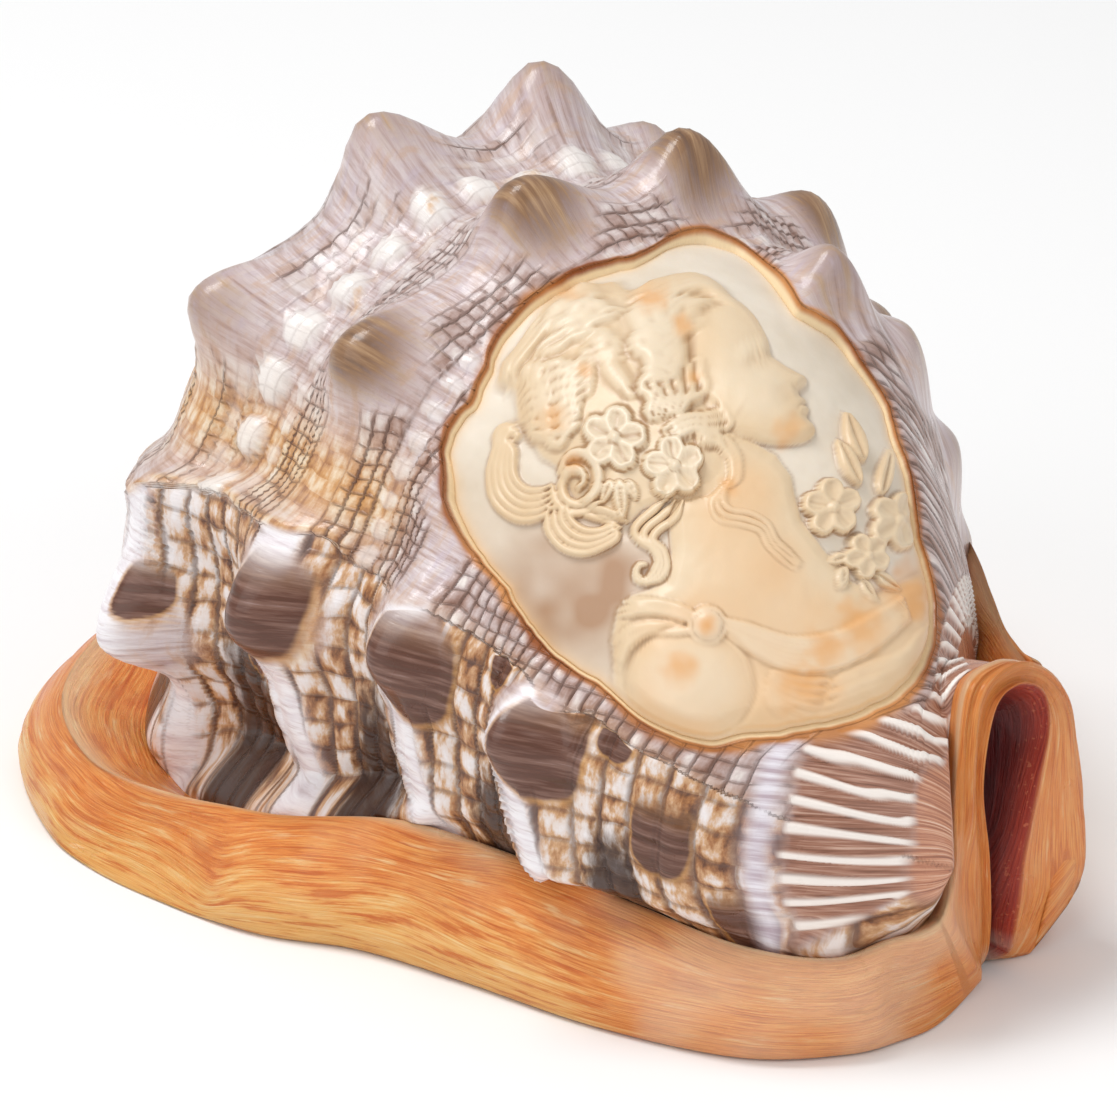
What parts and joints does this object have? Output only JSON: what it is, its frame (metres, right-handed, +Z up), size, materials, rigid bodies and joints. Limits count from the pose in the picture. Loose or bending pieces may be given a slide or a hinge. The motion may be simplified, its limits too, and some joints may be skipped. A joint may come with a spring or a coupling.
{
  "type": "carved cameo helmet shell",
  "caption": "Heavy knobbed sea shell resting on its flared lip, with a toothed slit below, a keyhole canal at one end and an oval relief carved on its slope.",
  "frame": {"origin": "on the ground, under the middle of the bounding box", "axes": "+X along the coil axis towards the canal end, -Y to the outer lip, +Z up"},
  "size_m": [0.1452, 0.1134, 0.0848],
  "materials": {
    "shell": "semi-gloss polished shell"
  },
  "bodies": {
    "root": {"shell": "shell"}
  },
  "joints": []
}
